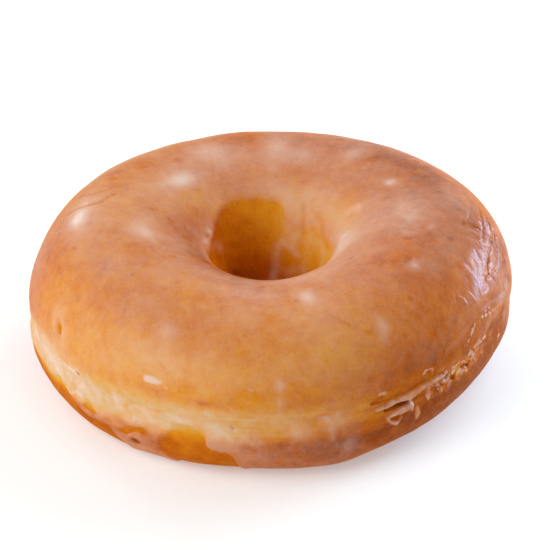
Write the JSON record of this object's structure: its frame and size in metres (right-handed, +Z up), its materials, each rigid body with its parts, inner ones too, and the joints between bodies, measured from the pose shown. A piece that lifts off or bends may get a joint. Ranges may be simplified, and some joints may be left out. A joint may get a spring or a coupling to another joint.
{
  "type": "ring doughnut",
  "caption": "Raised yeast ring doughnut with a thin sugar glaze, a round hole through its middle and a flat underside to rest on.",
  "frame": {"origin": "middle of the bounding box's base, on the surface that the doughnut rests on", "axes": "+Z up along the hole, -Y towards the front, +X to the right seen from the front"},
  "size_m": [0.095, 0.0912, 0.0348],
  "materials": {
    "crust": "satin",
    "glaze": "gloss"
  },
  "bodies": {
    "root": {"doughnut": "crust"}
  },
  "joints": []
}
